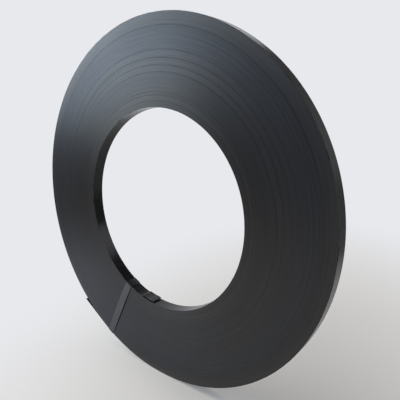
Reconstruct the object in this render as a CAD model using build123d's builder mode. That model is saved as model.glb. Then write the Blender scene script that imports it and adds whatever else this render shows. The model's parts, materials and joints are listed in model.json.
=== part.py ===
from build123d import *
import os
from math import atan2, cos, degrees, radians, sin, sqrt

# Steel strapping coil: one long steel strap wound flat on itself, standing on its rim, held by one tie.
# The coil's axis lies along Y, its front end faces -Y and +Z is up. The origin is the bore's centre.
# Lengths are in millimetres. Angles are in degrees from +X towards +Z, seen from the front.

# The strap, and the coil that it is wound into
strap_width = 19.0
strap_thickness = 0.5
bore_diameter = 305.0
coil_diameter = 550.0

# The winder's guide wandered, so each group of turns lies a little to one side of the last
turns_per_group = 20
guide_wander = 0.3
guide_step_angle = 140.0

# The outer free end: a straight tail that leaves the rim at a tangent
tail_angle = -123.0
tail_length = 56.0
tail_root_gap = 0.1

# The inner free end: kinked up off the bore wall where the mandrel's slot held it
tongue_angle = -106.2
tongue_sweep = 10.4
tongue_ramp_sweep = 2.0
tongue_lift = 0.6

# The tie: a narrower strap round the coil's section, its ends lapped on the back. Its middle line passes
# the axis a little to one side. It is tight over the edges of the bore and the rim, and bows away from the
# flat ends between them
tie_angle = -116.9
tie_askew = -3.0
tie_width = 12.7
tie_thickness = 0.4
tie_clearance = 0.05
tie_bow = 1.0
tie_lap_length = 40.0

# Sizes that follow
bore_radius = bore_diameter / 2
rim_radius = coil_diameter / 2
half_width = strap_width / 2
group_depth = turns_per_group * strap_thickness
group_count = int((rim_radius - bore_radius) // group_depth)
radius_after_first = bore_radius + group_depth
radius_before_last = bore_radius + (group_count - 1) * group_depth
tail_root_radius = rim_radius - 0.75 * strap_thickness
tail_root_run = sqrt((tail_root_radius + tail_root_gap) ** 2 - tail_root_radius**2)
tail_root_sweep = degrees(atan2(tail_root_run, tail_root_radius))


def polar(radius, angle):
    """A point of the front view, by its distance from the axis and its angle."""
    return Vector(radius * cos(radians(angle)), radius * sin(radians(angle)))


def side_shift(group):
    """How far a group of turns lies behind the coil's middle plane."""
    return guide_wander * sin(radians(group * guide_step_angle))


def front_plane(group):
    """The front view's plane, set on a group's own front edges."""
    return Plane.XZ.offset(half_width - side_shift(group))


# The whole strap, as one turned body with its bore and both free ends
with BuildPart() as strap_coil:
    # Middle groups of turns: each keeps the strap's width, and together they are turned about the axis
    with BuildSketch(Plane.XY):
        for group in range(1, group_count - 1):
            middle_radius = bore_radius + (group + 0.5) * group_depth
            with Locations((middle_radius, side_shift(group))):
                Rectangle(group_depth, strap_width)
    revolve(axis=Axis.Y)

    # First turns: the bore wall creeps outward by one strap thickness in a turn, in two half circles,
    # and the free end stands up off the wall beyond the kink
    with BuildSketch(front_plane(0)):
        Circle(radius_after_first)
        with BuildLine():
            ramp_end = tongue_angle + tongue_ramp_sweep
            tip_angle = tongue_angle + tongue_sweep
            tongue_radius = bore_radius - tongue_lift
            half_turn = tongue_angle - 180
            creep = polar(strap_thickness / 4, tongue_angle)
            CenterArc(-creep, bore_radius + strap_thickness / 4, tongue_angle, -180)
            wall = CenterArc(creep, bore_radius + 0.75 * strap_thickness, half_turn, -180)
            ramp = Line(wall @ 1, polar(tongue_radius + strap_thickness, ramp_end))
            back_face = CenterArc(
                (0, 0), tongue_radius + strap_thickness, ramp_end, tongue_sweep - tongue_ramp_sweep
            )
            tip = Line(back_face @ 1, polar(tongue_radius, tip_angle))
            bore_face = CenterArc(
                (0, 0), tongue_radius, tip_angle, tongue_ramp_sweep - tongue_sweep
            )
            Line(bore_face @ 1, polar(bore_radius, tongue_angle))
        make_face(mode=Mode.SUBTRACT)
    extrude(amount=-strap_width)

    # Last turns: the rim grows by one strap thickness in a turn, and the free end runs on as a tail
    with BuildSketch(front_plane(group_count - 1)):
        with BuildLine():
            creep = polar(strap_thickness / 4, tail_angle)
            along_tail = polar(tail_length, tail_angle - 90)
            root_angle = tail_angle - tail_root_sweep
            half_turn = tail_angle + 180
            CenterArc(creep, rim_radius - strap_thickness / 4, tail_angle, 180)
            under_tail = CenterArc(-creep, tail_root_radius, half_turn, 180 - tail_root_sweep)
            root = Line(under_tail @ 1, -creep + polar(tail_root_radius + tail_root_gap, root_angle))
            lower_edge = Line(root @ 1, polar(rim_radius - strap_thickness, tail_angle) + along_tail)
            end_edge = Line(lower_edge @ 1, polar(rim_radius, tail_angle) + along_tail)
            Line(end_edge @ 1, polar(rim_radius, tail_angle))
        make_face()
        Circle(radius_before_last, mode=Mode.SUBTRACT)
    extrude(amount=-strap_width)
strap_coil.part.label = "strap_coil"

# The tie lies in a plane along the axis, set to one side of it
tie_across = Vector(cos(radians(tie_angle)), 0, sin(radians(tie_angle)))
tie_along_rim = Vector(-sin(radians(tie_angle)), 0, cos(radians(tie_angle)))
tie_plane = Plane(tie_along_rim * tie_askew, x_dir=tie_across, z_dir=tie_along_rim)
tie_far_edge = tie_width / 2 + abs(tie_askew)
tie_bore_seat = sqrt(bore_radius**2 - tie_far_edge**2) - tie_clearance
tie_rim_seat = rim_radius + tie_clearance
tie_end_seat = half_width + guide_wander + tie_clearance
tie_middle = (tie_bore_seat + tie_rim_seat) / 2

with BuildPart() as tie_strap:
    with BuildSketch(tie_plane):
        with BuildLine():
            bore_leg = Line((tie_bore_seat, -tie_end_seat), (tie_bore_seat, tie_end_seat))
            back_leg = SagittaArc(bore_leg @ 1, (tie_rim_seat, tie_end_seat), tie_bow)
            rim_leg = Line(back_leg @ 1, (tie_rim_seat, -tie_end_seat))
            SagittaArc(rim_leg @ 1, bore_leg @ 0, tie_bow)
        seat = make_face(mode=Mode.PRIVATE)
        lap_depth = 2 * tie_thickness
        offset(seat, amount=lap_depth)
        with Locations((tie_middle, tie_end_seat)):
            Rectangle(tie_lap_length, 2 * (tie_bow + lap_depth), mode=Mode.INTERSECT)
        offset(seat, amount=tie_thickness, mode=Mode.ADD)
        add(seat, mode=Mode.SUBTRACT)
    extrude(amount=tie_width / 2, both=True)
tie_strap.part.label = "tie_strap"

os.makedirs("parts", exist_ok=True)
export_step(strap_coil.part, "parts/strap_coil.step")
export_step(tie_strap.part, "parts/tie_strap.step")
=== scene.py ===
# %% [markdown]
# # Dressing a steel strapping coil
# The real object is one long steel strap, blued in a furnace, waxed, and wound flat on itself like a
# roll of tape. A narrower strap ties the turns together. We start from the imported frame: it fixes the
# size and the place of everything, and this lesson only adds the looks.

# %% Load the frame
import json
import math
import random

import bmesh
import bpy
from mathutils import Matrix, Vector


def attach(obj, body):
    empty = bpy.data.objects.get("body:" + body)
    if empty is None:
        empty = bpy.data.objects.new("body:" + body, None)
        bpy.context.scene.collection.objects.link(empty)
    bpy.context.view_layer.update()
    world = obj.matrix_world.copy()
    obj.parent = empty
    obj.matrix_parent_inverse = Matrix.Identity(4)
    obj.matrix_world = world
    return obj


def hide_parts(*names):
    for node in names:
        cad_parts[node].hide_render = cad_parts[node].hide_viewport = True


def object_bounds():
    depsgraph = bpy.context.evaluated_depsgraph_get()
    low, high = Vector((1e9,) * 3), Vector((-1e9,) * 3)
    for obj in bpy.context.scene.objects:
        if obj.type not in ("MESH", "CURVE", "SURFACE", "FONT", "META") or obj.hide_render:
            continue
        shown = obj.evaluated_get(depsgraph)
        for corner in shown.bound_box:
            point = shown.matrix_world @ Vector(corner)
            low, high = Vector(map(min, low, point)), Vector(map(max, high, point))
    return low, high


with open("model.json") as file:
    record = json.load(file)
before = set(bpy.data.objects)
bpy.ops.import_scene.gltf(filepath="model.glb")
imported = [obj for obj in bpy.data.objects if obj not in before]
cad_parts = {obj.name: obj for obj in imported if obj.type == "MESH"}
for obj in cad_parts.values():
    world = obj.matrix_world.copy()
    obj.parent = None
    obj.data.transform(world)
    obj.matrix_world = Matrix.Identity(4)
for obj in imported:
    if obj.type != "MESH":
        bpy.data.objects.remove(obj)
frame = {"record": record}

MM = 0.001
cad_low, cad_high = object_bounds()
print("CAD box in mm:", [round(side / MM, 1) for side in cad_high - cad_low])

# %% [markdown]
# ## Sizes
# Everything is in metres. The bore, the strap's width and the floor under the rim are read from the
# frame. The rest repeats the sizes of the solids, with the rim a hair inside its box. Angles go from +X
# towards +Z, as seen from the front.

# %% Sizes of the strap and the coil
bore_mount = frame["record"]["mounts"][0]["dims"]
bore_radius = bore_mount["r_mm"] * MM
strap_width = bore_mount["length_mm"] * MM
strap_thickness = 0.5 * MM
floor_height = cad_low.z
rim_play = 0.02 * MM
rim_radius = -floor_height - rim_play
turn_count = round((rim_radius - bore_radius) / strap_thickness)
strap_length = math.pi * (bore_radius + rim_radius) * turn_count
print("turns:", turn_count, "- strap wound up, in m:", round(strap_length))

# %% [markdown]
# ## Small tools
# Operators act on whatever is selected, so each piece starts with nothing selected. Points, edges and
# faces are picked in code, by where they are. A finished piece has its place in its mesh and its object
# at the origin.

# %% Helpers for modelling
near = 0.01 * MM
merge_distance = 0.005 * MM


def deselect():
    """Back to object mode, with nothing selected."""
    if bpy.context.mode != "OBJECT":
        bpy.ops.object.mode_set(mode="OBJECT")
    bpy.ops.object.select_all(action="DESELECT")


def new_plane(name, middle, size_x, size_y, turned=(0, 0, 0)):
    """A plane along X and Y, turned if need be, with its size and place in its mesh."""
    deselect()
    bpy.ops.mesh.primitive_plane_add(size=1, location=middle, rotation=turned)
    plane = bpy.context.object
    plane.name = name
    plane.data.name = name
    plane.scale = (size_x, size_y, 1)
    bpy.ops.object.transform_apply(location=True, rotation=True, scale=True)
    return plane


def new_section(name, middle, size_x, size_y):
    """A plane to model from, left in edit mode."""
    section = new_plane(name, middle, size_x, size_y)
    bpy.ops.object.mode_set(mode="EDIT")
    return section


def select_where(piece, kind, test):
    """Selects the points, edges or faces that pass the test, and no others."""
    bpy.ops.mesh.select_mode(type=kind)
    bpy.ops.mesh.select_all(action="DESELECT")
    mesh = bmesh.from_edit_mesh(piece.data)
    for element in {"VERT": mesh.verts, "EDGE": mesh.edges, "FACE": mesh.faces}[kind]:
        element.select_set(test(element))
    mesh.select_flush_mode()
    bmesh.update_edit_mesh(piece.data)


def runs_along_x(edge):
    """True for an edge that doesn't climb along Y."""
    return abs(edge.verts[0].co.y - edge.verts[1].co.y) < near


def shift_along_y(piece, rule):
    """Moves every point along Y, as far as the rule says for its place."""
    mesh = bmesh.from_edit_mesh(piece.data)
    for point in mesh.verts:
        point.co.y += rule(point.co)
    bmesh.update_edit_mesh(piece.data)


def spin_on(centre, angle, steps):
    """Sweeps the selected section about an axis along Y, turning from +X towards +Z."""
    bpy.ops.mesh.spin(steps=steps, angle=angle, center=centre, axis=(0, 1, 0), use_auto_merge=False)


def close_up():
    """Merges the seams, points every face outwards and leaves edit mode."""
    bpy.ops.mesh.select_all(action="SELECT")
    bpy.ops.mesh.remove_doubles(threshold=merge_distance)
    bpy.ops.mesh.normals_make_consistent(inside=False)
    bpy.ops.object.mode_set(mode="OBJECT")


def turn_to(piece, angle, smooth_below):
    """Turns a piece that was drawn on the +X side to its angle on the coil, and shades it."""
    deselect()
    piece.select_set(True)
    bpy.context.view_layer.objects.active = piece
    piece.rotation_euler = (0, -angle, 0)
    bpy.ops.object.transform_apply(location=True, rotation=True, scale=True)
    bpy.ops.object.shade_smooth_by_angle(angle=smooth_below)
    print(piece.name, "has", len(piece.data.polygons), "faces")


# %% [markdown]
# ## The wound turns
# Seen end on, the coil is hundreds of strap edges side by side. They are never quite level: each turn
# lies a few hundredths of a millimetre beside the last one, and here and there two or three turns have
# sunk between their neighbours and draw a dark ring. One could paint all that as bump. Real edges catch
# the light from every side, so the section gets a point for every turn and is spun round.

# %% Where each turn lies
random.seed(7)
# The first and the last turn are pieces of their own. Each is one strap thick and creeps by another in
# its turn, so on average it takes up one and a half
end_turn_depth = 1.5 * strap_thickness
core_inner = bore_radius + end_turn_depth
core_outer = rim_radius - end_turn_depth
core_turns = round((core_outer - core_inner) / strap_thickness)
turn_step = 0.02 * MM
turn_memory = 0.85
most_shift = 0.1 * MM
sunken_ring_radii = [r * MM for r in (161, 169, 173.5, 199.5, 208.5, 218, 228, 258)]
sunken_ring_depth = 0.08 * MM
sunken_ring_reach = 0.6 * MM


def side_shifts():
    """How far each turn lies to one side: a short walk that keeps coming back to the middle."""
    shifts = []
    walk = 0.0
    for turn in range(core_turns + 1):
        walk = turn_memory * walk + random.uniform(-turn_step, turn_step)
        walk = max(-most_shift, min(most_shift, walk))
        shifts.append(walk)
    return shifts


shift_of_turn = side_shifts()


def beside_middle(place):
    """How far a point of the section moves: to its turn's side, and inwards if the turn has sunk."""
    turn = round((place.x - core_inner) / strap_thickness)
    sunken = any(abs(place.x - ring) < sunken_ring_reach for ring in sunken_ring_radii)
    return shift_of_turn[turn] - math.copysign(sunken_ring_depth if sunken else 0.0, place.y)


print("turns in the section:", core_turns)
print("turns shifted to one side by up to, in mm:", round(max(map(abs, shift_of_turn)) / MM, 3))

# %% [markdown]
# The section starts as a plane. One subdivision makes a hundred cuts at most, so the plane is cut into
# strips, and these into turns. Only the outline is kept. It is spun once round the axis of the coil. The
# last step lands on the first one, so the seam is merged and every face is pointed outwards.

# %% Draw the section and spin it round the axis
strip_count = 11
ring_steps = 160
core_middle = (core_inner + core_outer) / 2
wound_turns = new_section("wound_turns", (core_middle, 0, 0), core_outer - core_inner, strap_width)
for part_count in (strip_count, core_turns // strip_count):
    select_where(wound_turns, "EDGE", runs_along_x)
    bpy.ops.mesh.subdivide(number_cuts=part_count - 1)
select_where(wound_turns, "EDGE", lambda edge: not runs_along_x(edge) and len(edge.link_faces) == 2)
bpy.ops.mesh.delete(type="EDGE")
shift_along_y(wound_turns, beside_middle)
bpy.ops.mesh.select_all(action="SELECT")
spin_on((0, 0, 0), 2 * math.pi, ring_steps)
close_up()
turn_to(wound_turns, 0, smooth_below=math.radians(60))

# %% [markdown]
# The finish of the ends runs in rings, so this piece gets a map of its own: U goes outwards across the
# turns and V goes once round. Each end has its half of the map.

# %% Map the wound turns by radius and angle
map_name = "OFBake"
map_margin = 0.01
whole_turn = 2 * math.pi


def map_by_rings(piece, name):
    """Unwraps both ends by radius and angle, and squeezes the inner wall into the margin beside them."""
    layer = piece.data.uv_layers.new(name=name)
    points = piece.data.vertices
    for face in piece.data.polygons:
        middle_angle = math.atan2(face.center.z, face.center.x) % whole_turn
        band = 0.5 if face.center.y > 0 else 0.0
        on_a_wall = abs(face.normal.y) < 0.5
        for corner, index in zip(face.loop_indices, face.vertices):
            place = points[index].co
            angle = math.atan2(place.z, place.x)
            angle += whole_turn * round((middle_angle - angle) / whole_turn)
            across = (math.hypot(place.x, place.z) - core_inner) / (core_outer - core_inner)
            if on_a_wall and across < 0.5:
                across = -map_margin * (0.5 + place.y / strap_width)
            u = band + map_margin + across * (0.5 - 2 * map_margin)
            layer.data[corner].uv = (u, angle / whole_turn)


map_by_rings(wound_turns, map_name)
print("maps:", [layer.name for layer in wound_turns.data.uv_layers])

# %% [markdown]
# ## The outer turn and its tail
# The last turn is the strap itself, seen on its flat. Its rim creeps in by one strap thickness in a
# turn, which two half circles with shifted centres give exactly. We draw the strap's section at the
# place where the free end leaves the coil, spin it twice by half a turn, then go back to the start and
# pull the tail out straight, as springy strap does when nothing holds it. A film of wax keeps lapped
# straps a hundredth of a millimetre apart, so the section is drawn that much thinner.

# %% Spin the outer turn, then pull out its tail
tail_angle = math.radians(-123.0)
tail_length = 56 * MM
slit_edge_round = 0.12 * MM
wax_film = 0.01 * MM
half_turn_steps = 128
creep = strap_thickness / 4


def new_strap_section(name, inner_radius):
    """The strap's own section on the +X side, with its slit edges eased."""
    middle = (inner_radius + strap_thickness / 2, 0, 0)
    section = new_section(name, middle, strap_thickness - wax_film, strap_width)
    bpy.ops.mesh.select_all(action="SELECT")
    bpy.ops.mesh.bevel(offset=slit_edge_round, segments=2, affect="VERTICES")
    bpy.ops.mesh.select_all(action="SELECT")
    return section


under_tail = rim_radius - strap_thickness
outer_turn = new_strap_section("outer_turn", under_tail)
spin_on((creep, 0, 0), math.pi, half_turn_steps)
spin_on((-creep, 0, 0), math.pi, half_turn_steps)
select_where(outer_turn, "VERT", lambda point: abs(point.co.z) < near and point.co.x > under_tail)
bpy.ops.mesh.extrude_region_move(TRANSFORM_OT_translate={"value": (0, 0, -tail_length)})
close_up()
turn_to(outer_turn, tail_angle, smooth_below=math.radians(20))

# %% [markdown]
# ## The inner turn and its tongue
# The first turn was gripped in the mandrel's slot, so its end is kinked and stands off the wall of the
# bore. It is made the same way from the inside: two half turns for the wall, then back to the start and
# the other way, with a kink up, a flat stretch, a smaller kink and the end.

# %% Spin the inner turn, then raise its tongue
tongue_angle = math.radians(-106.2)
tongue_stretches = (
    # degrees along the wall, steps, and millimetres of rise at the stretch's end
    (1.4, 1, 2.0),
    (5.2, 4, 0.0),
    (0.7, 1, 0.35),
    (3.1, 1, -0.6),
)
over_tongue = bore_radius + strap_thickness
inner_turn = new_strap_section("inner_turn", bore_radius)
spin_on((-creep, 0, 0), -math.pi, half_turn_steps)
spin_on((creep, 0, 0), -math.pi, half_turn_steps)
select_where(inner_turn, "VERT", lambda point: abs(point.co.z) < near and 0 < point.co.x < over_tongue)
swept = 0.0
for sweep, steps, rise in tongue_stretches:
    spin_on((0, 0, 0), math.radians(sweep), steps)
    swept += math.radians(sweep)
    bpy.ops.transform.translate(
        value=(-rise * MM * math.cos(swept), 0, -rise * MM * math.sin(swept))
    )
close_up()
turn_to(inner_turn, tongue_angle, smooth_below=math.radians(15))

# %% [markdown]
# ## The tie
# A narrower strap goes round the coil's section and is pulled tight. It is bent sharply over the edges
# of the bore and the rim, and bows a little off the flat ends between them. Its own ends lap on the
# back. It was put on by hand, so its middle line passes the axis a few millimetres to one side.

# %% Sizes of the tie
tie_angle = math.radians(-116.9)
tie_askew = -3 * MM
tie_width = 12.7 * MM
tie_thickness = 0.4 * MM
tie_clearance = 0.05 * MM
tie_bow = 0.97 * MM
tie_lap_length = 40 * MM
tie_corner = 0.35 * MM
tie_edge_round = 0.08 * MM
guide_play = 0.3 * MM
tie_far_edge = tie_width / 2 + abs(tie_askew)
tie_low_edge = tie_askew - tie_width / 2
tie_bore_seat = math.sqrt(bore_radius**2 - tie_far_edge**2) - tie_clearance
tie_rim_seat = rim_radius + tie_clearance
tie_end_seat = strap_width / 2 + guide_play + tie_clearance
tie_middle = (tie_bore_seat + tie_rim_seat) / 2
tie_reach = (tie_rim_seat - tie_bore_seat) / 2
leg_cuts = 23


def bow_out(x):
    """How far a leg of the tie stands off the end of the coil."""
    return tie_bow * (1 - ((x - tie_middle) / tie_reach) ** 2)


print("loop of the tie, in mm:", round(2 * tie_reach / MM, 1), "by", round(2 * tie_end_seat / MM, 1))

# %% [markdown]
# The loop is drawn in a plane along the axis: an outline with tight corners, whose long legs are cut up
# and bowed. It is pulled out to the strap's width, and Solidify gives it the metal.

# %% Draw the loop of the tie and give it its thickness
tie_start = (tie_middle, 0, tie_low_edge)
across_tie = (0, 0, tie_width)
tie_band = new_section("tie_band", tie_start, 2 * tie_reach, 2 * tie_end_seat)
bpy.ops.mesh.delete(type="ONLY_FACE")
bpy.ops.mesh.select_mode(type="VERT")
bpy.ops.mesh.select_all(action="SELECT")
bpy.ops.mesh.bevel(offset=tie_corner, segments=4, affect="VERTICES")
select_where(tie_band, "EDGE", lambda edge: runs_along_x(edge) and edge.calc_length() > tie_reach)
bpy.ops.mesh.subdivide(number_cuts=leg_cuts)
shift_along_y(tie_band, lambda place: math.copysign(bow_out(place.x), place.y))
bpy.ops.mesh.select_all(action="SELECT")
bpy.ops.mesh.extrude_edges_move(TRANSFORM_OT_translate={"value": across_tie})
close_up()
metal = tie_band.modifiers.new("strap thickness", "SOLIDIFY")
metal.thickness = tie_thickness
metal.offset = 1
bpy.ops.object.modifier_apply(modifier=metal.name)
print("faces of the loop:", len(tie_band.data.polygons))

# %% [markdown]
# The other end of the tie lies on top of the first for a few centimetres, on the side that the
# photograph doesn't show. It follows the same bow, one strap thickness further out. Then the two are
# joined, and a Bevel modifier eases all the sharp edges.

# %% Lay the lapped end on the back
tie_lap = new_section("tie_lap", tie_start, tie_lap_length, tie_thickness)
lap_seat = tie_end_seat + 1.5 * tie_thickness + wax_film
select_where(tie_lap, "EDGE", runs_along_x)
bpy.ops.mesh.subdivide(number_cuts=leg_cuts)
shift_along_y(tie_lap, lambda place: lap_seat + bow_out(place.x))
bpy.ops.mesh.select_all(action="SELECT")
bpy.ops.mesh.extrude_region_move(TRANSFORM_OT_translate={"value": across_tie})
close_up()
tie_band.select_set(True)
bpy.context.view_layer.objects.active = tie_band
bpy.ops.object.join()
eased = tie_band.modifiers.new("eased edges", "BEVEL")
eased.width = tie_edge_round
eased.segments = 2
eased.limit_method = "ANGLE"
bpy.ops.object.modifier_apply(modifier=eased.name)
turn_to(tie_band, tie_angle, smooth_below=math.radians(20))

# %% [markdown]
# ## Materials
# A small helper adds a node with its settings and its links. Others turn a written colour into the
# linear one that a shader works with, and give a colour ramp its stops. That is all the machinery that
# the finishes need.

# %% Helpers for materials
def linear(hex_colour):
    """A written sRGB colour as linear red, green, blue and alpha."""
    channels = [int(hex_colour[i:i + 2], 16) / 255 for i in (1, 3, 5)]
    straight = [c / 12.92 if c <= 0.04045 else ((c + 0.055) / 1.055) ** 2.4 for c in channels]
    return (*straight, 1.0)


def add_node(tree, kind, settings=None, inputs=None):
    """Adds a node, sets its properties, and sets or links its inputs."""
    node = tree.nodes.new(kind)
    for name, value in (settings or {}).items():
        setattr(node, name, value)
    for name, value in (inputs or {}).items():
        if isinstance(value, bpy.types.NodeSocket):
            tree.links.new(value, node.inputs[name])
        else:
            node.inputs[name].default_value = value
    return node


def set_ramp(ramp, stops):
    """Gives a colour ramp its stops, each a place from 0 to 1 and a written colour."""
    elements = ramp.color_ramp.elements
    elements[0].position = stops[0][0]
    elements[-1].position = stops[-1][0]
    for place, _ in stops[1:-1]:
        elements.new(place)
    for element, (_, hex_colour) in zip(elements, stops):
        element.color = linear(hex_colour)


def new_material(name):
    """An empty material and its node tree."""
    material = bpy.data.materials.new(name)
    material.use_nodes = True
    material.node_tree.nodes.clear()
    return material, material.node_tree


# Nearly all of a noise lies between these two values
noise_low, noise_high = 0.3, 0.7

# %% [markdown]
# ## Steel, on the slit edges
# The strap is carbon steel that was blued by heat, slit, lacquered and waxed. On the ends we look at
# hundreds of slit edges in rings. Everything in this finish runs in rings too, so it starts from each
# point's distance from the axis.

# %% Distance from the axis
# Blued steel with slit edges: a dark grey metal, dull across the rings, with bluer bands and thin rings.
edge_steel, tree = new_material("blued_steel_slit_edges")
place = add_node(tree, "ShaderNodeTexCoord")
split = add_node(tree, "ShaderNodeSeparateXYZ", inputs={0: place.outputs["Object"]})
flat_place = add_node(tree, "ShaderNodeCombineXYZ", inputs={
    "X": split.outputs["X"], "Z": split.outputs["Z"]})
radius = add_node(tree, "ShaderNodeVectorMath", {"operation": "LENGTH"}, {0: flat_place.outputs[0]})
across_coil = add_node(tree, "ShaderNodeMapRange", inputs={
    "Value": radius.outputs["Value"], "From Min": bore_radius, "From Max": rim_radius})


def stops_across(stops):
    """Stops at radii in metres, as shares of the way from the bore to the rim."""
    return [((r - bore_radius) / (rim_radius - bore_radius), tone) for r, tone in stops]


print("from bore to rim, in mm:", round((rim_radius - bore_radius) / MM, 1))

# %% [markdown]
# The furnace doesn't blue the whole strap alike, so some bands of turns are bluer than others. Sunken
# turns lie in shade, so a dark line of painted shade is drawn at each, and the groups of turns between
# the lines that stand a little proud get painted light. Both are painted weaker towards the bottom.

# %% Bands of turns, with painted shade lines and painted light on the groups between them
bands = add_node(tree, "ShaderNodeValToRGB", inputs={"Fac": across_coil.outputs["Result"]})
set_ramp(bands, stops_across((
    (168 * MM, "#5c5b59"), (177 * MM, "#585857"), (187 * MM, "#585858"), (198 * MM, "#5a5a5a"),
    (222 * MM, "#5a5a5a"), (227 * MM, "#5b5c5e"), (256 * MM, "#5b5c5e"), (262 * MM, "#5d5d5d"),
    (270 * MM, "#616161"))))
# The ring ramp is painted shade at the sunken turns and painted light on the proud groups
line_reach = 1.6 * MM
sunken_line_painted_shade, level_group_painted_tone, proud_group_painted_light = "#dfdfdf", "#f4f4f4", "#fbfbfb"
group_tones = (
    level_group_painted_tone, proud_group_painted_light, level_group_painted_tone, level_group_painted_tone, proud_group_painted_light,
    proud_group_painted_light, proud_group_painted_light, level_group_painted_tone, proud_group_painted_light,
)
ring_stops = []
for line, inside, outside in zip(sunken_ring_radii, group_tones, group_tones[1:]):
    ring_stops += [(line - line_reach, inside), (line, sunken_line_painted_shade), (line + line_reach, outside)]
groups = add_node(tree, "ShaderNodeValToRGB", inputs={"Fac": across_coil.outputs["Result"]})
set_ramp(groups, stops_across(ring_stops))
# The painted shade and light of the rings fade to a fifth of their strength towards the bottom
painted_rings_faintest_below = -20 * MM
painted_rings_strongest_above = 200 * MM
painted_ring_strength = add_node(tree, "ShaderNodeMapRange", inputs={
    "Value": split.outputs["Z"], "From Min": painted_rings_faintest_below, "From Max": painted_rings_strongest_above,
    "To Min": 0.2, "To Max": 1.0})
group_colour = add_node(tree, "ShaderNodeMix", {"data_type": "RGBA", "blend_type": "MULTIPLY"}, {
    "Factor": painted_ring_strength.outputs["Result"],
    "A": bands.outputs["Color"], "B": groups.outputs["Color"]})
print("dark lines:", len(sunken_ring_radii), "- groups between them:", len(group_tones))

# %% [markdown]
# The tone also changes a little from turn to turn, and along a turn, because the slitting knives wear
# and the wax lies unevenly. A noise of the radius alone draws closed rings. A second one, stretched
# round the coil, draws streaks that are as thin as the rings and run about a tenth of a turn.

# %% Thin rings and streaks
# A turn is 0.5 mm thick, too fine for the picture, so the thin rings are drawn 1.3 mm wide
ring_size = 1.3 * MM
rings = add_node(tree, "ShaderNodeTexNoise", {"noise_dimensions": "1D"}, {
    "W": radius.outputs["Value"], "Scale": 1 / ring_size, "Detail": 2.0, "Roughness": 0.6})
streaks_round = 4.0
outwards = add_node(tree, "ShaderNodeVectorMath", {"operation": "NORMALIZE"}, {
    0: flat_place.outputs[0]})
heading = add_node(tree, "ShaderNodeSeparateXYZ", inputs={0: outwards.outputs[0]})
radius_in_rings = add_node(tree, "ShaderNodeMath", {"operation": "MULTIPLY"}, {
    0: radius.outputs["Value"], 1: 1 / (ring_size * streaks_round)})
streak_place = add_node(tree, "ShaderNodeCombineXYZ", inputs={
    "X": heading.outputs["X"], "Y": radius_in_rings.outputs[0], "Z": heading.outputs["Z"]})
streaks = add_node(tree, "ShaderNodeTexNoise", inputs={
    "Vector": streak_place.outputs[0], "Scale": streaks_round, "Detail": 3.0, "Roughness": 0.6})
both = add_node(tree, "ShaderNodeMix", inputs={
    "Factor": 0.45, "A": rings.outputs["Fac"], "B": streaks.outputs["Fac"]})
ring_tone = add_node(tree, "ShaderNodeMapRange", inputs={
    "Value": both.outputs["Result"], "From Min": noise_low, "From Max": noise_high,
    "To Min": 0.84, "To Max": 1.16})
edge_colour = add_node(tree, "ShaderNodeMix", {"data_type": "RGBA", "blend_type": "MULTIPLY"}, {
    "Factor": 1.0, "A": group_colour.outputs["Result"], "B": ring_tone.outputs["Result"]})
print("thin rings are drawn, in mm:", round(ring_size / MM, 1))

# %% [markdown]
# Rings of fine ridges scatter light across themselves, as the grooves of a record do, so a lamp draws
# two bright wedges. Anisotropy gives that: the shine is wide along U, across the turns, and narrow along
# V. The inner turns are hazier, because the mandrel and many hands have rubbed them.

# %% Shine of the slit edges
streak_dullness = add_node(tree, "ShaderNodeMapRange", inputs={
    "Value": streaks.outputs["Fac"], "From Min": noise_low, "From Max": noise_high,
    "To Min": 0.38, "To Max": 0.46})
rubbed_up_to, clear_from = 158 * MM, 180 * MM
haze = add_node(tree, "ShaderNodeMapRange", {"interpolation_type": "SMOOTHSTEP"}, {
    "Value": radius.outputs["Value"], "From Min": rubbed_up_to, "From Max": clear_from,
    "To Min": 0.04, "To Max": 0.0})
dullness = add_node(tree, "ShaderNodeMath", {"operation": "ADD"}, {
    0: streak_dullness.outputs["Result"], 1: haze.outputs["Result"]})
across_turns = add_node(tree, "ShaderNodeTangent", {"direction_type": "UV_MAP", "uv_map": map_name})
skin = add_node(tree, "ShaderNodeBsdfPrincipled", inputs={
    "Base Color": edge_colour.outputs["Result"], "Metallic": 1.0, "Roughness": dullness.outputs[0],
    "Anisotropic": 0.65, "Tangent": across_turns.outputs["Tangent"]})
add_node(tree, "ShaderNodeOutputMaterial", inputs={"Surface": skin.outputs["BSDF"]})
print("made", edge_steel.name, "with", len(tree.nodes), "nodes")

# %% [markdown]
# ## Black lacquer, on the flats
# On the rim and in the bore we look at the strap's flat. It is rolled smooth, lacquered black and waxed,
# so it mirrors little where we look straight at it and much where we look along it. That is how any
# clear film over black behaves, and a dielectric shader with the IOR of wax, about 1.4, gives it. The
# wax lies in smears, and faint rolling lines run along the strap.

# %% Smears of wax and rolling lines
# Waxed black lacquer on rolled steel: nearly black, glossy at a glance along it, smeared with wax.
flat_steel, tree = new_material("black_lacquer_on_rolled_steel")
place = add_node(tree, "ShaderNodeTexCoord")
split = add_node(tree, "ShaderNodeSeparateXYZ", inputs={0: place.outputs["Object"]})
smear_size = 16 * MM
smears = add_node(tree, "ShaderNodeTexNoise", inputs={
    "Vector": place.outputs["Object"], "Scale": 1 / smear_size, "Detail": 4.0, "Roughness": 0.6})
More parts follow.
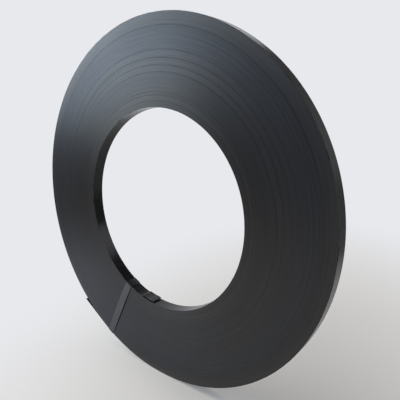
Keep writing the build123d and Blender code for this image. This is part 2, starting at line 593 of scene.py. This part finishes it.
# Rolling lines are about 0.2 mm wide, too fine for the picture, so they are drawn 1.5 mm wide
line_width = 1.5 * MM
line_length = 90 * MM
along_strap = add_node(tree, "ShaderNodeMapping", inputs={
    "Vector": place.outputs["Object"], "Scale": (1 / line_length, 1 / line_width, 1 / line_length)})
lines = add_node(tree, "ShaderNodeTexNoise", inputs={
    "Vector": along_strap.outputs["Vector"], "Scale": 1.0, "Detail": 2.0})
lacquer = add_node(tree, "ShaderNodeValToRGB", inputs={"Fac": smears.outputs["Fac"]})
set_ramp(lacquer, ((0.3, "#08080a"), (0.75, "#131315")))
wax = add_node(tree, "ShaderNodeMix", inputs={
    "Factor": 0.4, "A": smears.outputs["Fac"], "B": lines.outputs["Fac"]})
dullness = add_node(tree, "ShaderNodeMapRange", inputs={
    "Value": wax.outputs["Result"], "From Min": noise_low, "From Max": noise_high,
    "To Min": 0.14, "To Max": 0.28})
relief = add_node(tree, "ShaderNodeBump", inputs={
    "Height": lines.outputs["Fac"], "Strength": 0.25, "Distance": 0.05 * MM})
print("smears, in mm:", round(smear_size / MM), "- rolling lines:", round(line_width / MM, 1))

# %% [markdown]
# The edges of the strap are rubbed down to the steel here and there: in the last few tenths of a
# millimetre on either side, where the smears leave the lacquer thin. There the film gives way to metal.

# %% Rubbed edges of the flats
rub_starts = strap_width / 2 - 0.4 * MM
rub_is_full = strap_width / 2 - 0.1 * MM
from_middle = add_node(tree, "ShaderNodeMath", {"operation": "ABSOLUTE"}, {0: split.outputs["Y"]})
near_edge = add_node(tree, "ShaderNodeMapRange", {"interpolation_type": "SMOOTHSTEP"}, {
    "Value": from_middle.outputs[0], "From Min": rub_starts, "From Max": rub_is_full})
thin_lacquer = add_node(tree, "ShaderNodeMapRange", {"interpolation_type": "SMOOTHSTEP"}, {
    "Value": smears.outputs["Fac"], "From Min": 0.4, "From Max": 0.55})
rubbed = add_node(tree, "ShaderNodeMath", {"operation": "MULTIPLY"}, {
    0: near_edge.outputs["Result"], 1: thin_lacquer.outputs["Result"]})
flat_tone = add_node(tree, "ShaderNodeMix", {"data_type": "RGBA"}, {
    "Factor": rubbed.outputs[0], "A": lacquer.outputs["Color"], "B": linear("#77787b")})
skin = add_node(tree, "ShaderNodeBsdfPrincipled", inputs={
    "Base Color": flat_tone.outputs["Result"], "Metallic": rubbed.outputs[0],
    "Roughness": dullness.outputs["Result"], "IOR": 1.4, "Normal": relief.outputs["Normal"]})
add_node(tree, "ShaderNodeOutputMaterial", inputs={"Surface": skin.outputs["BSDF"]})
print("made", flat_steel.name, "with", len(tree.nodes), "nodes")

# %% [markdown]
# ## Grey steel, on the tie
# The tie is a cheaper strap, left as it was rolled: bare grey steel, duller and paler than the coil.
# Fine lines run along it from the rolls. They have to follow the tie, so a Mapping node turns the
# pattern to the tie's angle, and another stretches it along the strap.

# %% Rolling lines of the tie
# As-rolled grey steel: a dull metal with lines along its length and bright edges.
tie_steel, tree = new_material("grey_steel_as_rolled")
place = add_node(tree, "ShaderNodeTexCoord")
turned = add_node(tree, "ShaderNodeMapping", inputs={
    "Vector": place.outputs["Object"], "Rotation": (0, tie_angle, 0), "Location": (0, 0, -tie_askew)})
# These lines are too fine for the picture as well, so they are drawn 1.2 mm wide
tie_line_width = 1.2 * MM
tie_line_length = 25 * MM
along_tie = add_node(tree, "ShaderNodeMapping", inputs={
    "Vector": turned.outputs["Vector"],
    "Scale": (1 / tie_line_length, 1 / tie_line_length, 1 / tie_line_width)})
lines = add_node(tree, "ShaderNodeTexNoise", inputs={
    "Vector": along_tie.outputs["Vector"], "Scale": 1.0, "Detail": 3.0, "Roughness": 0.6})
tie_tone = add_node(tree, "ShaderNodeValToRGB", inputs={"Fac": lines.outputs["Fac"]})
set_ramp(tie_tone, ((noise_low, "#5e5e60"), (noise_high, "#707072")))
dullness = add_node(tree, "ShaderNodeMapRange", inputs={
    "Value": lines.outputs["Fac"], "From Min": noise_low, "From Max": noise_high,
    "To Min": 0.28, "To Max": 0.38})
relief = add_node(tree, "ShaderNodeBump", inputs={
    "Height": lines.outputs["Fac"], "Strength": 0.3, "Distance": 0.05 * MM})
print("lines of the tie, in mm:", round(tie_line_length / MM), "by", round(tie_line_width / MM, 1))

# %% [markdown]
# Its edges are rubbed bright. The leg in the bore lies in shade, and that shade is painted into its
# colour as a darker tone.

# %% Worn edges of the tie, and painted shade on its leg in the bore
tie_split = add_node(tree, "ShaderNodeSeparateXYZ", inputs={0: turned.outputs["Vector"]})
tie_rub = 0.5 * MM
from_middle = add_node(tree, "ShaderNodeMath", {"operation": "ABSOLUTE"}, {0: tie_split.outputs["Z"]})
rubbed = add_node(tree, "ShaderNodeMapRange", {"interpolation_type": "SMOOTHSTEP"}, {
    "Value": from_middle.outputs[0],
    "From Min": tie_width / 2 - tie_rub, "From Max": tie_width / 2, "To Max": 0.7})
worn_tone = add_node(tree, "ShaderNodeMix", {"data_type": "RGBA"}, {
    "Factor": rubbed.outputs["Result"], "A": tie_tone.outputs["Color"], "B": linear("#98999b")})
# Painted shade: the leg in the bore is darkened, fading out over the bend onto the end
bore_shade_end = tie_bore_seat + 1.5 * MM
painted_bore_shade = add_node(tree, "ShaderNodeMapRange", {"interpolation_type": "SMOOTHSTEP"}, {
    "Value": tie_split.outputs["X"], "From Min": tie_bore_seat, "From Max": bore_shade_end,
    "To Min": 0.45, "To Max": 0.0})
bore_shaded_tone = add_node(tree, "ShaderNodeMix", {"data_type": "RGBA"}, {
    "Factor": painted_bore_shade.outputs["Result"], "A": worn_tone.outputs["Result"], "B": linear("#2b2b2d")})
skin = add_node(tree, "ShaderNodeBsdfPrincipled", inputs={
    "Base Color": bore_shaded_tone.outputs["Result"], "Metallic": 1.0,
    "Roughness": dullness.outputs["Result"], "Normal": relief.outputs["Normal"]})
add_node(tree, "ShaderNodeOutputMaterial", inputs={"Surface": skin.outputs["BSDF"]})
print("made", tie_steel.name, "with", len(tree.nodes), "nodes")

# %% [markdown]
# ## Finishes on the pieces
# Each piece takes its finish and is tied to the frame. The wound turns stand for the CAD solid of the
# coil, and the tie for its own. Nothing on a coil moves, so every piece rides on the one body.

# %% Give each piece its finish, and tie it to the frame
wound_turns.data.materials.append(edge_steel)
outer_turn.data.materials.append(flat_steel)
inner_turn.data.materials.append(flat_steel)
tie_band.data.materials.append(tie_steel)
for piece in (wound_turns, outer_turn, inner_turn):
    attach(piece, "root")
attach(tie_band, "root")
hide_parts("strap_coil")
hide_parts("tie_strap")
print("pieces:", wound_turns.name, outer_turn.name, inner_turn.name, tie_band.name)

# %% [markdown]
# ## The floor and the background
# A sheet of pale paper lies under the coil and fades into an even pale background. The fade is in the
# paper's own material, in a long oval round the coil, so no edge shows from any side.

# %% Lay the paper
background_hex = "#e8e9ed"
floor_radius = 4.0
fade_middle = (0.26, -0.04, 0)
fade_turn = math.radians(20)
fade_stretch = (1, 1.97, 1)
fade_reach = 0.66
deselect()
bpy.ops.mesh.primitive_circle_add(
    vertices=96, radius=floor_radius, fill_type="NGON", location=(0, 0, floor_height)
)
floor = bpy.context.object
floor.name = "studio_floor"
floor_paper, tree = new_material("pale_studio_paper")
place = add_node(tree, "ShaderNodeTexCoord")
oval = add_node(tree, "ShaderNodeMapping", {"vector_type": "TEXTURE"}, {
    "Vector": place.outputs["Object"], "Location": fade_middle, "Rotation": (0, 0, fade_turn),
    "Scale": fade_stretch})
distance = add_node(tree, "ShaderNodeVectorMath", {"operation": "LENGTH"}, {0: oval.outputs["Vector"]})
fade = add_node(tree, "ShaderNodeMapRange", {"interpolation_type": "SMOOTHSTEP"}, {
    "Value": distance.outputs["Value"], "From Max": fade_reach})
paper = add_node(tree, "ShaderNodeBsdfDiffuse", inputs={"Color": linear("#ecebe8")})
glow_tone = add_node(tree, "ShaderNodeMix", {"data_type": "RGBA"}, {
    "Factor": fade.outputs["Result"], "A": linear("#e8e6e0"), "B": linear(background_hex)})
glow = add_node(tree, "ShaderNodeEmission", inputs={"Color": glow_tone.outputs["Result"]})
blend = add_node(tree, "ShaderNodeMixShader", inputs={
    0: fade.outputs["Result"], 1: paper.outputs[0], 2: glow.outputs[0]})
add_node(tree, "ShaderNodeOutputMaterial", inputs={"Surface": blend.outputs[0]})
floor.data.materials.append(floor_paper)
print("floor at, in mm:", round(floor_height / MM, 1))

# %% [markdown]
# Camera, mirrors and glass see the pale background itself. The soft light that it sheds on everything
# else is darker and cooler, as the light of a window is.

# %% Light the background
world = bpy.data.worlds.new("pale_studio")
bpy.context.scene.world = world
world.use_nodes = True
tree = world.node_tree
tree.nodes.clear()
ray = add_node(tree, "ShaderNodeLightPath")
seen = ray.outputs["Is Camera Ray"]
for ray_kind in ("Is Glossy Ray", "Is Transmission Ray"):
    either = add_node(tree, "ShaderNodeMath", {"operation": "MAXIMUM"}, {
        0: seen, 1: ray.outputs[ray_kind]})
    seen = either.outputs[0]
sky_tone = add_node(tree, "ShaderNodeMix", {"data_type": "RGBA"}, {
    "Factor": seen, "A": linear("#989da6"), "B": linear(background_hex)})
sky = add_node(tree, "ShaderNodeBackground", inputs={"Color": sky_tone.outputs["Result"]})
add_node(tree, "ShaderNodeOutputWorld", inputs={"Surface": sky.outputs[0]})
print("background:", background_hex)

# %% [markdown]
# ## What the metal mirrors
# Dark, shiny things show their shape by what they mirror. So a few surfaces stand round the table for
# reflections only: the camera and the soft light don't see them. Each is toned by the distance from a
# point, so that a pool of light or a dark corner can lie where the metal needs it.

# %% Helper for surfaces that only mirrors see
def reflections_only(thing, centre, reach, stops, strength=1.0):
    """A surface that only mirrors see, glowing with a tone by the distance from a centre, up to a reach.
    """
    mirrored_glow, tree = new_material(thing.name + "_cloth")
    place = add_node(tree, "ShaderNodeTexCoord")
    distance = add_node(tree, "ShaderNodeVectorMath", {"operation": "DISTANCE"}, {
        0: place.outputs["Object"], 1: centre})
    share = add_node(tree, "ShaderNodeMapRange", inputs={
        "Value": distance.outputs["Value"], "From Max": reach})
    tone = add_node(tree, "ShaderNodeValToRGB", inputs={"Fac": share.outputs["Result"]})
    set_ramp(tone, [(far / reach, hex_colour) for far, hex_colour in stops])
    # Painted reflection: the surface glows with its tone, though no lamp lights it
    shine = add_node(tree, "ShaderNodeEmission", inputs={
        "Color": tone.outputs["Color"], "Strength": strength})
    add_node(tree, "ShaderNodeOutputMaterial", inputs={"Surface": shine.outputs[0]})
    thing.data.materials.append(mirrored_glow)
    thing.visible_camera = False
    thing.visible_diffuse = False
    thing.visible_transmission = False
    thing.visible_shadow = False
    print(thing.name, "is seen in reflections only")


# %% [markdown]
# A dark tent stands round the table. It is open towards the pale background behind the coil, and lighter
# at the back on the right.

# %% Put up the tent
tent_radius = 1.8
# Degrees from straight back, with the left side below zero, and degrees above the horizon
opening_left, opening_right, opening_top = -95, -11, 42


def is_left_open(face):
    """True for a face of the tent that lies under the floor or in the opening."""
    middle = face.calc_center_median()
    yaw = math.degrees(math.atan2(middle.x, middle.y))
    height = math.degrees(math.atan2(middle.z, math.hypot(middle.x, middle.y)))
    return middle.z < floor_height or (opening_left < yaw < opening_right and height < opening_top)


deselect()
bpy.ops.mesh.primitive_uv_sphere_add(segments=90, ring_count=45, radius=tent_radius)
tent = bpy.context.object
tent.name = "dark_tent"
bpy.ops.object.mode_set(mode="EDIT")
select_where(tent, "FACE", is_left_open)
bpy.ops.mesh.delete(type="FACE")
bpy.ops.object.mode_set(mode="OBJECT")
reflections_only(tent, centre=(0.82, 1.55, 0.45), reach=3.6, stops=(
    (0.15, "#9a9a9b"), (0.5, "#868687"), (0.85, "#6e6e6f"),
    (2.0, "#575964"), (2.9, "#525560"), (3.4, "#676a73")))

# %% [markdown]
# In front of the coil lies a sheet with a pool of light on its left half. Another sheet, paler near the
# coil, lies at the back on the right.

# %% Lay the sheets
sheet_height = floor_height + 1 * MM
front_sheet_gap, front_sheet_width, front_sheet_depth = 0.013, 3.4, 1.7
front_sheet_middle = (0, -front_sheet_gap - front_sheet_depth / 2, sheet_height)
front_sheet = new_plane("front_sheet", front_sheet_middle, front_sheet_width, front_sheet_depth)
reflections_only(front_sheet, centre=(-0.45, -0.2, sheet_height), reach=1.2, stops=(
    (0.14, "#e1e4ef"), (0.2, "#cfd1da"), (0.3, "#c2c3cb"), (0.4, "#aaaaad"),
    (0.5, "#9b9998"), (0.6, "#969492"), (0.8, "#7b7877"), (1.1, "#706d6c")))

back_sheet_right, back_sheet_gap, back_sheet_width, back_sheet_depth = 0.6, 0.03, 2.0, 0.9
back_sheet_middle = (back_sheet_right, back_sheet_gap + back_sheet_depth / 2, sheet_height)
back_sheet = new_plane("back_sheet", back_sheet_middle, back_sheet_width, back_sheet_depth)
reflections_only(back_sheet, centre=(0, 0, sheet_height), reach=1.4, stops=(
    (0.4, "#b9b9b9"), (0.57, "#c6c6c6"), (0.71, "#b9b9b9"), (0.9, "#898989")))

# %% [markdown]
# A dark card ends the sheet at the back, and a pale window shines into the bore. Both have one tone all
# over.

# %% Stand the card and hang the window
even_reach = 2.0


def one_tone(hex_colour):
    """Stops of a surface that has the same tone all over."""
    return ((0.0, hex_colour), (even_reach, hex_colour))


upright = math.radians(90)
back_card_foot = Vector((0.725, 0.785, 0))
back_card_length = 1.2
back_card_top = 0.10
back_card_yaw = math.radians(10)
back_card_middle = back_card_foot + Vector((0, 0, (back_card_top + floor_height) / 2))
back_card = new_plane(
    "back_card", back_card_middle, back_card_length, back_card_top - floor_height,
    turned=(upright, 0, back_card_yaw)
)
reflections_only(back_card, centre=(0, 0, 0), reach=even_reach, stops=one_tone("#7c7c7d"))

window_yaw = math.radians(45.7)
window_rise = math.radians(28.5)
window_distance, window_width, window_height = 1.5, 0.42, 0.86
window_towards = Vector((
    math.cos(window_rise) * math.sin(window_yaw),
    math.cos(window_rise) * math.cos(window_yaw),
    math.sin(window_rise),
))
window = new_plane(
    "back_window", window_distance * window_towards, window_width, window_height,
    turned=(-window_towards).to_track_quat("Z", "Y").to_euler()
)
reflections_only(
    window, centre=(0, 0, 0), reach=even_reach, stops=one_tone("#f4f6ff"), strength=1.7
)

# %% [markdown]
# ## Lamps
# A broad softbox on the left draws the bright wedge across the rings. It is a little cool, as a window
# is. A second one hangs over the table and only lights the paper: it isn't mirrored, and it lays the
# soft shadow behind the coil.

# %% Hang the lamps
def soft_lamp(name, place, aim, width, height, watts, hex_colour):
    """A rectangular area lamp at a place, turned to its aim."""
    light = bpy.data.lights.new(name, "AREA")
    light.shape = "RECTANGLE"
    light.size = width
    light.size_y = height
    light.energy = watts
    light.color = linear(hex_colour)[:3]
    lamp = bpy.data.objects.new(name, light)
    bpy.context.scene.collection.objects.link(lamp)
    lamp.location = place
    lamp.rotation_euler = (Vector(aim) - Vector(place)).to_track_quat("-Z", "Y").to_euler()
    print(name, "gives", watts, "W")
    return lamp


soft_lamp(
    "key_softbox", place=(-1.259, -0.938, 0.440), aim=(-0.017, 0, 0.099),
    width=0.9, height=0.7, watts=9.3, hex_colour="#dfeefd"
)
paper_light = soft_lamp(
    "paper_softbox", place=(-0.2, -0.15, 1.4), aim=(0, 0, floor_height),
    width=1.6, height=1.6, watts=12.6, hex_colour="#fff3e2"
)
paper_light.visible_glossy = False

# %% [markdown]
# ## The camera
# The camera stands right of the coil, above its middle, turned to the left. It is level and looks down
# by about fifteen degrees. A small shift keeps the framing.

# %% Camera
camera_place = (0.4192, -0.4344, 0.1520)
camera_yaw = math.radians(-38.52)
camera_pitch = math.radians(-14.90)
camera_data = bpy.data.cameras.new("photo_view")
camera_data.sensor_width = 36
camera_data.lens = 36.89
camera_data.shift_y = 0.0421
camera = bpy.data.objects.new("photo_view", camera_data)
bpy.context.scene.collection.objects.link(camera)
camera.location = camera_place
camera.rotation_euler = (upright + camera_pitch, 0, -camera_yaw)
bpy.context.scene.camera = camera
bpy.context.scene.view_settings.view_transform = "Standard"
print("camera stands, in mm from the coil's middle:", round(camera.location.length / MM))
